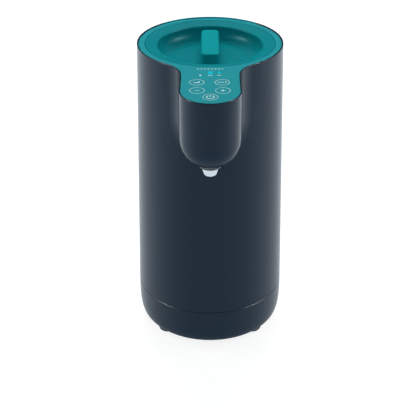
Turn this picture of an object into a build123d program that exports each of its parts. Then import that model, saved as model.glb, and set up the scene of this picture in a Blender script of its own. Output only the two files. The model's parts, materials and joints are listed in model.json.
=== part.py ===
from build123d import *
import os
from math import cos, radians, sin, tan

# Countertop dispenser that warms water and pours it into a baby bottle stood under its nose.
# Millimetres. +Z is up and the nose faces -Y. The origin is the middle of the footprint, on the table.
# Places are given from the body axis, the upright centre line of the round body.

# ---- outer form ----
total_height = 284.9  # table to the highest point of the rim, at the back
seam_height = 40.0  # joint between the base and the outer shell
seam_radius = 70.0  # the body is widest here
rim_radius = 64.8  # the body narrows evenly up to its rim
wall = 2.4  # moulded wall of the shell and the base
nose_radius = 25.1  # the nose is as wide as its round front and underside
nose_forward = 109.0  # body axis to the centre of the nose's round front
nose_lift = 243.0  # centre of the nose's round underside
blend_radius = 27.0  # hollow blend between the nose and the body
foot_height = 5.0
axis_y = (nose_forward + nose_radius - seam_radius) / 2  # the body axis in the part's own frame
taper = (seam_radius - rim_radius) / (total_height - seam_height)
base_floor = foot_height + wall
base_round_in, base_round_up = 4.5, 21.5  # the base's lower edge is a tall quarter ellipse
lip_radius = 67.3  # lip of the base inside the shell

# ---- top ring and touch panel ----
ring_radius = 63.4
panel_half_width = 24.0
collar_top = 284.0  # flat face of the ring and the panel
rim_rise = 0.1  # at the front of the nose the rim stands this far above the panel
plate = 3.0  # thickness of the ring and the panel
mouth_radius = 57.9  # round opening that the lid closes
skirt_radius = 60.6
tongue_angle = 42.0  # half of the stretch at the back where the ring reaches the outside
tongue_depth = 14.0
fit_gap = 0.1  # between pieces that are fitted together once
edge_round = 0.4  # small rounding on the edges that hands touch
seam_chamfer = 0.35  # on both edges of the joint between the base and the shell
# middle, width and depth of each indicator
indicator_places = [(-7.3, -80.2, 1.6, 2.0), (0.0, -71.4, 4.0, 6.0), (7.6, -70.5, 2.8, 3.2)]
key_places = [(-10.25, -90.0), (10.25, -90.0), (-10.25, -106.5), (10.25, -106.5), (0.0, -119.7)]
plate_low = collar_top - plate
collar_blend = blend_radius + nose_radius - panel_half_width
tongue_low = collar_top - tongue_depth
rim_slope = (total_height - collar_top - rim_rise) / (rim_radius + nose_forward + nose_radius)

# ---- lid ----
lid_radius = 57.6
lid_edge = 2.2  # thickness of the lid
bowl_radius = 46.4
bowl_drop = 1.9  # the lid slopes down this much to the rounded edge of its bowl
bowl_edge = 1.6  # radius of that rounded edge
bowl_depth = 14.4
bowl_round = 10.8  # hollow round between the bowl's wall and its floor
handle_width = 15.4
handle_length = 61.5
handle_back = 1.5  # the handle's middle is this far behind the body axis
bowl_floor = collar_top - bowl_depth
lid_low = collar_top - lid_edge

# ---- water tank ----
deck_height = 118.0
deck_thick = 3.0
deck_top = deck_height + deck_thick
tank_low = 124.0
tank_top = lid_low - 0.1
tank_wall = 2.2
tank_radius = 56.0
tank_mouth = 54.4  # inside of the tank's round mouth
tank_shelf = 266.0  # the round mouth starts here
tank_flat = 47.0  # the tank's flat front leaves room for the hose and the cable
tank_floor = tank_low + tank_wall

# ---- valve between the tank and the machine ----
valve_lift = 4.0  # the pin holds the poppet this far off its seat while the tank is in place
valve_radius = 9.0
valve_seat = 121.5
poppet_low = valve_seat + valve_lift + 0.2  # just clear of the seat's cone when it is shut
cup_low = 108.0
pin_top = 118.0

# ---- machinery ----
pump_x, pump_y = -26.0, -12.0
pump_low = 50.0
flow_x, flow_y = -37.0, 27.0
heater_x, heater_y = 27.0, 27.0
heater_radius = 19.0
heater_low, heater_top = 28.0, 84.0
pipe_height = 56.0  # pump outlet, flow meter and heater inlet are in line at this height
nipple_radius = 3.0
hose_inner, hose_outer = 3.1, 4.6
running_gap = 0.06  # radial play of a shaft in its bearing
inlet_height = 58.0
inlet_face = 68.4  # the inlet's face is flush with the shell
board_x, board_y = 18.0, -24.0
board_low = 14.0
board_thick = 1.6
control_low = 273.4  # control board under the touch panel
channel_y = -53.0  # hose and cable rise here, in front of the tank's flat


def place(x, y, z=0.0):
    """A point given from the body axis."""
    return (x, axis_y + y, z)


def level(z, x=0.0, y=0.0):
    """Horizontal plane at height z."""
    return Plane(place(x, y, z))


def front_plane(x=0.0, y=0.0, z=0.0):
    """Upright plane that faces the front; its sketch is seen from the front."""
    return Plane(origin=place(x, y, z), x_dir=(1, 0, 0), z_dir=(0, -1, 0))


def side_plane(x, y, z):
    """Upright plane that faces +X, with its sketch's own x along +Y."""
    return Plane(origin=place(x, y, z), x_dir=(0, 1, 0), z_dir=(1, 0, 0))


def spoke_level(z, angle):
    """Horizontal plane at height z with its sketch's own x outward at the angle."""
    outward = (cos(radians(angle)), sin(radians(angle)), 0)
    return Plane(origin=place(0, 0, z), x_dir=outward, z_dir=(0, 0, 1))


def spoke_plane(angle):
    """Upright plane through the body axis, with its sketch's own x outward at the angle."""
    across, along = cos(radians(angle)), sin(radians(angle))
    return Plane(origin=place(0, 0), x_dir=(across, along, 0), z_dir=(along, -across, 0))


def body_radius(z):
    """Outer radius of the round body at height z."""
    return rim_radius + (total_height - z) * taper


def turn(outline, x=0.0, y=0.0, mode=Mode.ADD):
    """Turn an outline of (radius, height) points about an upright axis."""
    with BuildSketch(front_plane(x, y)) as profile:
        with BuildLine():
            Polyline(*outline, close=True)
        make_face()
    revolve(profile.sketch, axis=Axis(place(x, y), (0, 0, 1)), mode=mode)


def tube(low, high, outer, inner=0.0, x=0.0, y=0.0, mode=Mode.ADD):
    """Upright round bar, or a tube if it has an inner radius."""
    with BuildSketch(level(low, x, y)) as section:
        Circle(outer)
        if inner:
            Circle(inner, mode=Mode.SUBTRACT)
    extrude(section.sketch, amount=high - low, mode=mode)


def block(low, high, wide, deep, x=0.0, y=0.0, mode=Mode.ADD):
    """Upright rectangular bar."""
    with BuildSketch(level(low, x, y)) as section:
        Rectangle(wide, deep)
    extrude(section.sketch, amount=high - low, mode=mode)


def screws(places, head_low, head_high, tip, head_radius, shank_radius):
    """Round-headed screws at the same height; the tip may be above or below the head."""
    for x, y in places:
        tube(head_low, head_high, head_radius, x=x, y=y)
        low = min(head_low, tip)
        high = max(head_high, tip)
        tube(low, high, shank_radius, x=x, y=y)
        slot_low = head_low if tip > head_high else head_high - 0.6
        block(slot_low, slot_low + 0.6, 2 * head_radius * 0.7, 0.6, x, y, Mode.SUBTRACT)
        block(slot_low, slot_low + 0.6, 0.6, 2 * head_radius * 0.7, x, y, Mode.SUBTRACT)


def ring_places(radius, angles):
    """Places on a circle about the body axis."""
    return [(radius * cos(radians(a)), radius * sin(radians(a))) for a in angles]


def corner_radii(points, largest):
    """The easiest bend at each corner of a route, up to the largest that fits the space."""
    radii = []
    for before, here, after in zip(points, points[1:], points[2:]):
        first = Vector(*here) - Vector(*before)
        second = Vector(*after) - Vector(*here)
        half_turn = radians(first.get_angle(second)) / 2
        radii.append(min(largest, 0.45 * min(first.length, second.length) / tan(half_turn)))
    return radii


def route(points, outer, inner=0.0, largest=40.0):
    """Round hose or cable along straight runs joined by arcs."""
    radii = corner_radii(points, largest)
    with BuildLine() as line:
        path = FilletPolyline(*[place(*p) for p in points], radius=radii)
    with BuildSketch(Plane(origin=path @ 0, z_dir=path % 0)) as section:
        Circle(outer)
        if inner:
            Circle(inner, mode=Mode.SUBTRACT)
    sweep(section.sketch, path=line.wires()[0])
    print("bends", [round(r, 1) for r in radii], "length", round(path.length, 1))


def panel_outline(ring, half_width):
    """Ring and panel seen from above, with hollow corners where they meet."""
    Circle(ring)
    with Locations((0, -nose_forward / 2)):
        Rectangle(2 * half_width, nose_forward)
    with Locations((0, -nose_forward)):
        Circle(half_width)


def hollow_corners(outline):
    """The two corners of a panel outline where the panel leaves the ring."""
    return outline.vertices().filter_by(lambda v: abs(v.X) > 20 and -70 < v.Y < -45)


def meets_body(edge, inset, high):
    """Whether an edge is part of the line where the nose meets the round body."""
    middle = edge @ 0.5
    from_axis = (middle.X**2 + (middle.Y - axis_y) ** 2) ** 0.5
    on_body = abs(from_axis - body_radius(middle.Z) + inset) < 0.1
    in_front = -nose_forward * 0.8 < edge.center().Y - axis_y < -nose_forward * 0.35
    below_top = edge.center().Z < high - 1
    return on_body and in_front and below_top and middle.Z > nose_lift - 2 * nose_radius


def housing_form(inset, low, high):
    """Closed form of the round body with its nose, drawn in from the outer face by inset."""
    radius = nose_radius - inset
    with BuildPart() as form:
        turn([(0, low), (body_radius(low) - inset, low), (body_radius(high) - inset, high), (0, high)])
        with BuildSketch(level(nose_lift)):
            with Locations((0, -nose_forward / 2)):
                Rectangle(2 * radius, nose_forward)
            with Locations((0, -nose_forward)):
                Circle(radius)
        extrude(amount=high - nose_lift)
        with BuildSketch(front_plane(z=nose_lift)):
            Circle(radius)
        extrude(amount=nose_forward)
        with Locations(place(0, -nose_forward, nose_lift)):
            Sphere(radius)
        fillet(form.edges().filter_by(lambda e: meets_body(e, inset, high)), blend_radius + inset)
    return form.part


body_axis = Axis(place(0, 0), (0, 0, 1))
rim_plane = Plane(origin=place(0, rim_radius, total_height), x_dir=(1, 0, 0), z_dir=(0, -rim_slope, 1))
outer_form = housing_form(0, seam_height, total_height + 1)
inner_form = housing_form(wall, seam_height - 1, total_height + 2)

base_screw_places = ring_places(60.0, (10, 170, 250, 290))
deck_screw_places = ring_places(61.6, (20, 160, 215, 325))
foot_places = [(x, y) for x in (-41.2, 41.2) for y in (-37.3, 37.3)]
panel_screw_places = [(-15, -74), (15, -74), (-12.5, -121), (12.5, -121)]
pump_screw_places = [(pump_x + x, pump_y + y) for x in (-17, 17) for y in (-17, 17)]
power_screw_places = [(board_x + x, board_y + y) for x in (-19, 19) for y in (-10, 10)]
heater_screw_places = [(heater_x + x, heater_y) for x in (-24.5, 24.5)]
handle_screw_places = [(0, handle_back - 20), (0, handle_back + 20)]
inlet_screw_offsets = (-16, 16)

# The outer shell: round body and nose in one moulding, open at the bottom and at the top.
with BuildPart() as outer_shell:
    add(outer_form)
    add(inner_form, mode=Mode.SUBTRACT)
    with BuildSketch(level(plate_low)) as seat:
        panel_outline(ring_radius + fit_gap, panel_half_width + fit_gap)
        fillet(hollow_corners(seat), collar_blend - fit_gap)
    extrude(amount=plate + 3, mode=Mode.SUBTRACT)
    # flat seat for the spout holder, and its hole
    tube(222.0, 224.6, 13.0, 9.1, y=-nose_forward)
    tube(nose_lift - 30, 225.0, 9.1, y=-nose_forward, mode=Mode.SUBTRACT)
    # opening for the power inlet, with two bosses for its screws
    with BuildSketch(front_plane(y=60, z=inlet_height)):
        Rectangle(24.4, 16.4)
    extrude(amount=-20, mode=Mode.SUBTRACT)
    for x in inlet_screw_offsets:
        with BuildSketch(front_plane(x, 63.3, inlet_height)):
            Circle(3.2)
            Circle(1.5, mode=Mode.SUBTRACT)
        extrude(amount=-2.5)
    # bosses for the deck, and bosses on ribs for the base
    for x, y in deck_screw_places:
        tube(104.0, deck_height, 4.6, 1.6, x, y)
    for x, y in base_screw_places:
        rib = Plane(origin=place(x * 1.075, y * 1.075, 46.0), x_dir=(x, y, 0), z_dir=(0, 0, 1))
        with BuildSketch(rib):
            Rectangle(6.4, 3.0)
        extrude(amount=14)
        tube(46.0, 60.0, 4.6, x=x, y=y)
        tube(45.0, 61.0, 1.6, x=x, y=y, mode=Mode.SUBTRACT)
    # the back of the rim is cut away for the tongue of the top ring
    with BuildSketch(spoke_plane(90 - tongue_angle)):
        with Locations((65, tongue_low - 0.4 + (tongue_depth + 3) / 2)):
            Rectangle(16, tongue_depth + 3)
    revolve(axis=body_axis, revolution_arc=2 * tongue_angle, mode=Mode.SUBTRACT)
    split(bisect_by=rim_plane, keep=Keep.BOTTOM)
    fillet(outer_shell.faces().sort_by(Axis.Z)[-1].edges(), edge_round)
    chamfer(outer_shell.edges().group_by(Axis.Z)[0].sort_by(SortBy.LENGTH)[-1], seam_chamfer)

# The base: a tub with a rounded lower edge that closes the shell from below.
with BuildPart() as base_tub:
    with BuildSketch(front_plane()):
        with BuildLine():
            ellipse_middle = (seam_radius - base_round_in, foot_height + base_round_up)
            EllipticalCenterArc(ellipse_middle, base_round_in, base_round_up, 270, arc_size=90)
            Polyline(
                (seam_radius, foot_height + base_round_up),
                (seam_radius, seam_height),
                (seam_radius - wall, seam_height),
                (seam_radius - wall, foot_height + base_round_up),
                (seam_radius - wall - 1.2, foot_height + 8),
                (seam_radius - wall - 4.0, base_floor),
                (0, base_floor),
                (0, foot_height),
                (seam_radius - base_round_in, foot_height),
            )
        make_face()
    revolve(axis=body_axis)
    chamfer(base_tub.edges().group_by(Axis.Z)[-1].sort_by(SortBy.LENGTH)[-1], seam_chamfer)
    # lip that centres the base in the shell
    tube(30.0, 38.0, seam_radius - wall + 0.1, lip_radius - 2)
    tube(37.0, seam_height + 3.5, lip_radius, lip_radius - 2)
    for x, y in base_screw_places:
        tube(base_floor, 46.0, 4.6, x=x, y=y)
    for x, y in base_screw_places:
        tube(foot_height - 1, 36.0, 3.3, x=x, y=y, mode=Mode.SUBTRACT)
        tube(foot_height, 47.0, 1.7, x=x, y=y, mode=Mode.SUBTRACT)
    for x, y in pump_screw_places:
        tube(base_floor, pump_low - 2.5, 3.4, 1.6, x, y)
    for x, y in power_screw_places:
        tube(base_floor, board_low, 3.0, 1.3, x, y)
    for x, y in heater_screw_places:
        tube(base_floor, heater_low - 2, 4.0, 1.6, x, y)
    tube(base_floor, pipe_height - 10, 5.0, x=flow_x, y=flow_y)
    for x, y in foot_places:
        tube(foot_height - 1, foot_height + 1, 9.4, x=x, y=y, mode=Mode.SUBTRACT)
    # air slots in the floor
    with BuildSketch(level(foot_height - 1, 0, 45)):
        with GridLocations(8, 0, 5, 1):
            SlotOverall(20, 3, rotation=90)
    extrude(amount=4, mode=Mode.SUBTRACT)

with BuildPart() as base_feet:
    for x, y in foot_places:
        turn([(0, 0), (8.1, 0), (8.9, 0.8), (9.3, foot_height), (9.3, 5.95), (0, 5.95)], x, y)

with BuildPart() as base_screws:
    screws(base_screw_places, 33.2, 36.0, 54.0, 3.0, 1.5)

# The ring round the lid and the touch panel over the nose, in one moulding.
with BuildPart() as top_collar:
    with BuildSketch(level(plate_low)) as outline:
        panel_outline(ring_radius, panel_half_width)
        fillet(hollow_corners(outline), collar_blend)
        Circle(mouth_radius, mode=Mode.SUBTRACT)
    extrude(amount=plate)
    fillet(top_collar.faces().sort_by(Axis.Z)[-1].edges(), edge_round)
    tube(plate_low - 9, plate_low, skirt_radius, skirt_radius - 2.2)
    with BuildSketch(spoke_plane(90 - tongue_angle + 0.35)):
        with BuildLine():
            Polyline(
                (body_radius(tongue_low) - wall, tongue_low),
                (body_radius(tongue_low), tongue_low),
                (body_radius(total_height + 1), total_height + 1),
                (ring_radius, total_height + 1),
                (ring_radius, collar_top),
                (ring_radius - 1, collar_top),
                close=True,
            )
        make_face()
    revolve(axis=body_axis, revolution_arc=2 * (tongue_angle - 0.35))
    split(bisect_by=rim_plane, keep=Keep.BOTTOM)
    fillet(top_collar.faces().sort_by(Axis.Z)[-1].edges().sort_by(SortBy.LENGTH)[-2:], edge_round)
    # screw bosses under the panel, and windows for the three indicators
    for x, y in panel_screw_places:
        tube(control_low + board_thick, plate_low, 2.5, 1.2, x, y)
    with BuildSketch(level(plate_low - 1)):
        for x, y, wide, deep in indicator_places:
            with Locations((x, y)):
                RectangleRounded(wide, deep, 0.6)
    extrude(amount=plate + 2, mode=Mode.SUBTRACT)

with BuildPart() as indicator_windows:
    with BuildSketch(level(plate_low - 1)):
        for x, y, wide, deep in indicator_places:
            with Locations((x, y)):
                RectangleRounded(wide - 0.1, deep - 0.1, 0.55)
    extrude(amount=plate + 1)

# ---- lid: a shallow bowl with an upright handle, on the rim of the tank ----
with BuildPart() as lid_cover:
    with BuildSketch(front_plane()):
        with BuildLine():
            centre = (bowl_radius - bowl_round, bowl_floor + bowl_round)
            edge_centre = (bowl_radius + bowl_edge, collar_top - bowl_drop - bowl_edge)
            under = bowl_round + lid_edge
            Line((0, bowl_floor), (bowl_radius - bowl_round, bowl_floor))
            CenterArc(centre, bowl_round, 270, 90)
            Line((bowl_radius, bowl_floor + bowl_round), (bowl_radius, edge_centre[1]))
            CenterArc(edge_centre, bowl_edge, 180, -90)
            Polyline(
                (bowl_radius + bowl_edge, collar_top - bowl_drop),
                (lid_radius, collar_top),
                (lid_radius, lid_low),
                (53.2, lid_low),
                (53.2, 270.5),
                (51.3, 270.5),
                (51.3, bowl_floor + bowl_round),
                (bowl_radius + lid_edge, bowl_floor + bowl_round),
            )
            CenterArc(centre, under, 0, -90)
            Polyline(
                (bowl_radius - bowl_round, bowl_floor - lid_edge),
                (0, bowl_floor - lid_edge),
                (0, bowl_floor),
            )
        make_face()
    revolve(axis=body_axis)
    fillet(lid_cover.edges().filter_by(lambda e: e.center().Z > collar_top - 0.1), 0.6)
    for x, y in handle_screw_places:
        tube(bowl_floor - 3, bowl_floor + 1, 1.6, x=x, y=y, mode=Mode.SUBTRACT)

with BuildPart() as lid_handle:
    with BuildSketch(level(bowl_floor, 0, handle_back)):
        RectangleRounded(handle_width + 1.2, handle_length + 1.2, 4.4)
    with BuildSketch(level(collar_top - 0.2, 0, handle_back)):
        RectangleRounded(handle_width, handle_length, 4.0)
    loft()
    fillet(lid_handle.faces().sort_by(Axis.Z)[-1].edges(), 0.8)
    for x, y in handle_screw_places:
        tube(bowl_floor - 1, bowl_floor + 12, 1.3, x=x, y=y, mode=Mode.SUBTRACT)

with BuildPart() as handle_screws:
    screws(handle_screw_places, bowl_floor - lid_edge - 1.8, bowl_floor - lid_edge, bowl_floor + 9, 2.8, 1.2)

with BuildPart() as lid_seal:
    turn(
        [
            (53.25, 273.0), (54.0, 273.6), (54.0, 274.4), (53.6, 275.0), (54.0, 275.6), (54.0, 276.4),
            (53.25, 277.0),
        ]
    )

# ---- water tank, lifted out by hand; its front is flat and its mouth is round ----
with BuildPart() as water_tank:
    for inset, low, high, mode in (
        (0, tank_low, tank_shelf, Mode.ADD),
        (tank_wall, tank_floor, tank_shelf + 2, Mode.SUBTRACT),
    ):
        if mode == Mode.SUBTRACT:
            tube(tank_shelf, tank_top, tank_radius + 0.9)
        with BuildSketch(level(low)) as cut:
            Circle(tank_radius - inset)
            with Locations((0, inset - tank_flat - 20)):
                Rectangle(150, 40, mode=Mode.SUBTRACT)
            fillet(cut.vertices(), 9 - inset)
        extrude(amount=high - low, mode=mode)
    tube(tank_shelf + 2, tank_top + 1, tank_mouth, mode=Mode.SUBTRACT)
    fillet(water_tank.edges().group_by(Axis.Z)[0], 4)
    for x in (-34, 34):
        for y in (-28, 30):
            tube(deck_top + 0.1, tank_low + 1, 4.0, x=x, y=y)
    tube(tank_low - 1, tank_floor + 1, valve_radius + 0.1, mode=Mode.SUBTRACT)

with BuildPart() as valve_body:
    turn(
        [
            (4.5, valve_seat - 1.5), (4.5, valve_seat), (7.0, valve_seat + 1.5), (7.0, 128.4),
            (13.0, 128.4), (13.0, tank_floor), (valve_radius, tank_floor), (valve_radius, 113.0),
            (6.4, 113.0), (6.4, valve_seat - 1.5),
        ]
    )

with BuildPart() as valve_poppet:
    turn(
        [
            (0, pin_top), (1.8, pin_top), (1.8, poppet_low), (4.6, poppet_low), (6.0, poppet_low + 0.84),
            (6.0, 128.0), (2.0, 128.0), (2.0, 130.0), (0, 130.0),
        ]
    )

with BuildPart() as valve_spring:
    for turn_height in (128.6, 130.4, 132.2, 134.0):
        with BuildSketch(Plane(origin=place(3.6, 0, turn_height), x_dir=(1, 0, 0), z_dir=(0, -1, 0))):
            Circle(0.45)
        revolve(axis=body_axis)

# slotted cup over the valve that keeps scale out, and holds the spring down
with BuildPart() as tank_filter:
    turn([(13.3, tank_floor), (15.0, tank_floor), (15.0, 137.0), (0, 137.0), (0, 134.8), (13.3, 134.8)])
    for angle in range(0, 180, 30):
        with BuildSketch(spoke_level(131.0, angle)):
            Rectangle(40, 1.6)
            Circle(12, mode=Mode.SUBTRACT)
        extrude(amount=-3.6, mode=Mode.SUBTRACT)

with BuildPart() as float_guide:
    tube(tank_floor, 150.0, 2.4, y=36)
    tube(150.0, 152.0, 4.6, y=36)

with BuildPart() as tank_float:
    turn([(2.8, 127.0), (8.4, 127.0), (9.0, 127.6), (9.0, 137.4), (8.4, 138.0), (2.8, 138.0)], 0, 36)

# ---- deck that carries the tank, with the valve cup in its middle ----
with BuildPart() as tank_deck:
    tube(deck_height, deck_top, 65.2, 15.9)
    tube(deck_height - 5, deck_height, 32.0, 30.0)
    tube(deck_height - 5, deck_height, 18.0, 15.9)
    for angle in (45, 135, 195, 345):
        with BuildSketch(spoke_level(deck_height - 5, angle)):
            with Locations((36, 0)):
                Rectangle(38, 2.4)
        extrude(amount=5)
    for x, y in deck_screw_places:
        tube(deck_height - 6, deck_top + 1, 1.7, x=x, y=y, mode=Mode.SUBTRACT)
    # way through for the hose and the cable
    with BuildSketch(level(deck_height - 6, 1, channel_y + 2)):
        SlotOverall(46, 18)
    extrude(amount=10, mode=Mode.SUBTRACT)

with BuildPart() as deck_screws:
    screws(deck_screw_places, deck_top, deck_top + 2.0, deck_height - 11, 3.0, 1.5)

with BuildPart() as valve_cup:
    turn(
        [
            (nipple_radius - 1, 98.0), (nipple_radius, 98.0), (nipple_radius, cup_low), (15.8, cup_low),
            (15.8, deck_top), (18.5, deck_top), (18.5, deck_top + 1.4), (13.4, deck_top + 1.4),
            (13.4, cup_low + 2.4), (nipple_radius - 1, cup_low + 2.4),
        ]
    )
    # the pin that opens the valve stands on three ribs over the outlet
    tube(cup_low + 2.4, pin_top - 0.1, 1.6)
    for angle in (0, 120, 240):
        with BuildSketch(spoke_level(cup_low + 1.4, angle)):
            with Locations((3, 0)):
                Rectangle(6, 1.4)
        extrude(amount=2.5)

with BuildPart() as valve_cup_seal:
    turn([(9.3, 114.0), (13.35, 112.6), (13.35, 117.4), (12.2, 117.4), (12.2, 115.2), (9.3, 115.2)])

with BuildPart() as level_sensor:
    block(deck_top, deck_top + 1.6, 16, 12, 0, 38)
    block(deck_top + 1.6, deck_top + 2.6, 4, 3, 0, 38)

# ---- pump: motor below, wet end above, hung from a bracket on four posts ----
with BuildPart() as pump_bracket:
    block(pump_low - 2.5, pump_low, 42, 42, pump_x, pump_y)
    fillet(pump_bracket.edges().filter_by(Axis.Z), 4)
    tube(pump_low - 3, pump_low + 1, 13.1, x=pump_x, y=pump_y, mode=Mode.SUBTRACT)
    for x, y in pump_screw_places:
        tube(pump_low - 3, pump_low + 1, 1.7, x=x, y=y, mode=Mode.SUBTRACT)

with BuildPart() as pump_screws:
    screws(pump_screw_places, pump_low, pump_low + 2.0, pump_low - 12, 2.8, 1.5)

with BuildPart() as pump_motor:
    turn([(0, 18.0), (11.5, 18.0), (13.0, 19.5), (13.0, pump_low), (0, pump_low)], pump_x, pump_y)
    tube(40.0, pump_low + 1, 1.0 + running_gap, x=pump_x, y=pump_y, mode=Mode.SUBTRACT)
    for x in (-6, 6):
        block(14.5, 18.0, 0.8, 3.0, pump_x + x, pump_y)

with BuildPart() as pump_housing:
    tube(pump_low, pump_low + 13, 18.0, x=pump_x, y=pump_y)
    with BuildSketch(front_plane(flow_x, pump_y, pipe_height)):
        Circle(nipple_radius)
    extrude(amount=-20)
    tube(pump_low + 2, pump_low + 14, 14.6, x=pump_x, y=pump_y, mode=Mode.SUBTRACT)
    tube(pump_low - 1, pump_low + 3, 1.0 + running_gap, x=pump_x, y=pump_y, mode=Mode.SUBTRACT)
    with BuildSketch(front_plane(flow_x, pump_y, pipe_height)):
        Circle(nipple_radius - 1)
    extrude(amount=-21, mode=Mode.SUBTRACT)

with BuildPart() as pump_cover:
    turn(
        [
            (nipple_radius - 1, pump_low + 13), (18.0, pump_low + 13), (18.0, pump_low + 15.4),
            (nipple_radius, pump_low + 15.4), (nipple_radius, 76.0), (nipple_radius - 1, 76.0),
        ],
        pump_x, pump_y,
    )

with BuildPart() as pump_shaft:
    tube(41.0, pump_low + 8, 1.0, x=pump_x, y=pump_y)

with BuildPart() as pump_impeller:
    tube(pump_low + 2.6, pump_low + 4.0, 12.5, 1.0, pump_x, pump_y)
    tube(pump_low + 4.0, pump_low + 9.0, 2.6, 1.0, pump_x, pump_y)
    with BuildSketch(level(pump_low + 4.0, pump_x, pump_y)):
        with PolarLocations(7.2, 6):
            Rectangle(10, 1.2)
    extrude(amount=5)

# ---- flow meter with its paddle wheel ----
flow_low = pipe_height - 10
with BuildPart() as flow_meter:
    tube(flow_low, flow_low + 17, 12.0, x=flow_x, y=flow_y)
    with BuildSketch(front_plane(flow_x, flow_y, pipe_height)):
        Circle(nipple_radius)
    extrude(amount=18)
    with BuildSketch(side_plane(flow_x, flow_y, pipe_height)):
        Circle(nipple_radius)
    extrude(amount=20)
    tube(flow_low + 2, flow_low + 18, 10.0, x=flow_x, y=flow_y, mode=Mode.SUBTRACT)
    with BuildSketch(front_plane(flow_x, flow_y - 9, pipe_height)):
        Circle(nipple_radius - 1)
    extrude(amount=10, mode=Mode.SUBTRACT)
    with BuildSketch(side_plane(flow_x + 9, flow_y, pipe_height)):
        Circle(nipple_radius - 1)
    extrude(amount=12, mode=Mode.SUBTRACT)

with BuildPart() as flow_cap:
    tube(flow_low + 17, flow_low + 19, 12.0, x=flow_x, y=flow_y)
    tube(flow_low + 15.6, flow_low + 17, 9.9, 2.0, flow_x, flow_y)
    tube(flow_low + 15.0, flow_low + 18, 1.0 + running_gap, x=flow_x, y=flow_y, mode=Mode.SUBTRACT)

with BuildPart() as flow_wheel:
    tube(flow_low + 2.2, flow_low + 17.8, 1.0, x=flow_x, y=flow_y)
    tube(flow_low + 4, flow_low + 15, 2.4, x=flow_x, y=flow_y)
    with BuildSketch(level(flow_low + 5, flow_x, flow_y)):
        with PolarLocations(5.2, 8):
            Rectangle(7, 0.9)
    extrude(amount=9)

# ---- heater: cast block on a bracket, with its two cut-outs ----
with BuildPart() as heater_bracket:
    tube(heater_low - 2, heater_low, 20.0, x=heater_x, y=heater_y)
    block(heater_low - 2, heater_low, 57, 10, heater_x, heater_y)
    for x, y in heater_screw_places:
        tube(heater_low - 3, heater_low + 1, 1.7, x=x, y=y, mode=Mode.SUBTRACT)

with BuildPart() as heater_screws:
    screws(heater_screw_places, heater_low, heater_low + 2.0, heater_low - 12, 2.8, 1.5)

with BuildPart() as heater_block:
    tube(heater_low, heater_top, heater_radius, x=heater_x, y=heater_y)
    chamfer(heater_block.faces().sort_by(Axis.Z)[-1].edges(), 1.5)
    for z in (36, 44, 68, 76):
        turn([(17.4, z), (20, z), (20, z + 2), (17.4, z + 2)], heater_x, heater_y, Mode.SUBTRACT)
    tube(heater_top - 1, heater_top + 9, nipple_radius, x=heater_x, y=heater_y)
    with BuildSketch(side_plane(heater_x, heater_y, pipe_height)):
        Circle(nipple_radius)
    extrude(amount=-heater_radius - 8)
    # water way inside the casting
    tube(pipe_height, heater_top + 10, nipple_radius - 1, x=heater_x, y=heater_y, mode=Mode.SUBTRACT)
    with BuildSketch(side_plane(heater_x, heater_y, pipe_height)):
        Circle(nipple_radius - 1)
    extrude(amount=-heater_radius - 9, mode=Mode.SUBTRACT)

with BuildPart() as thermal_cutouts:
    for y in (-9, 9):
        tube(heater_top, heater_top + 3.5, 4.0, x=heater_x, y=heater_y + y)
        for x in (-2, 2):
            block(heater_top + 3.5, heater_top + 7, 0.6, 2.0, heater_x + x, heater_y + y)

# ---- hoses and cable ----
with BuildPart() as suction_hose:
    route([(0, 0, 107.5), (0, 0, 88), (pump_x, pump_y, 84), (pump_x, pump_y, 65.6)], hose_outer, hose_inner)

with BuildPart() as pump_hose:
    with BuildSketch(front_plane(flow_x, 6.5, pipe_height)):
        Circle(hose_outer)
        Circle(hose_inner, mode=Mode.SUBTRACT)
    extrude(amount=-8)

with BuildPart() as heater_hose:
    with BuildSketch(side_plane(flow_x + 12.5, flow_y, pipe_height)):
        Circle(hose_outer)
        Circle(hose_inner, mode=Mode.SUBTRACT)
    extrude(amount=heater_x - flow_x - heater_radius - 13)

with BuildPart() as hot_water_hose:
    route(
        [
            (heater_x, heater_y, heater_top + 1.5), (heater_x, heater_y, 106), (14, channel_y, 106),
            (14, channel_y, 256), (0, -nose_forward, 256), (0, -nose_forward, 238.0),
        ],
        hose_outer, hose_inner, 20.0,
    )

with BuildPart() as control_cable:
    route(
        [
            (8, -32, 23.6), (8, -32, 60), (-12, channel_y, 84), (-12, channel_y, 244),
            (-8, -80, 250), (-8, -80, 268.0),
        ],
        1.8,
    )

# ---- boards ----
with BuildPart() as power_board:
    block(board_low, board_low + board_thick, 44, 26, board_x, board_y)
    for x, y in power_screw_places:
        tube(board_low - 1, board_low + 3, 1.4, x=x, y=y, mode=Mode.SUBTRACT)

board_top = board_low + board_thick
with BuildPart() as power_parts:
    block(board_top, board_top + 16, 16, 14, board_x + 4, board_y + 5)
    block(board_top, board_top + 14, 8, 11, board_x - 9, board_y + 5)
    block(board_top, 23.6, 10, 5.6, 8, -32.4)
    tube(board_top, board_top + 17, 5.0, x=board_x + 9, y=board_y - 7.4)

with BuildPart() as power_screws:
    screws(power_screw_places, board_top, board_top + 1.8, board_low - 6, 2.2, 1.2)

with BuildPart() as control_board:
    with BuildSketch(level(control_low)) as outline:
        with Locations((0, -nose_forward)):
            Circle(20)
        with Locations((0, (-64 - nose_forward) / 2)):
            Rectangle(40, nose_forward - 64)
    extrude(amount=board_thick)
    for x, y in panel_screw_places:
        tube(control_low - 1, control_low + 3, 1.3, x=x, y=y, mode=Mode.SUBTRACT)

control_top = control_low + board_thick
with BuildPart() as control_parts:
    block(268.0, control_low, 10, 5, -8, -80)
    block(control_low - 3, control_low, 9, 9, 8, -98)
    block(control_top, 279.8, 21, 14, 0, -75.5)

with BuildPart() as control_screws:
    screws(panel_screw_places, control_low - 1.6, control_low, control_low + 6, 2.2, 1.1)

with BuildPart() as touch_pads:
    for x, y in key_places:
        tube(control_top, plate_low, 5.0, x=x, y=y)

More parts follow.
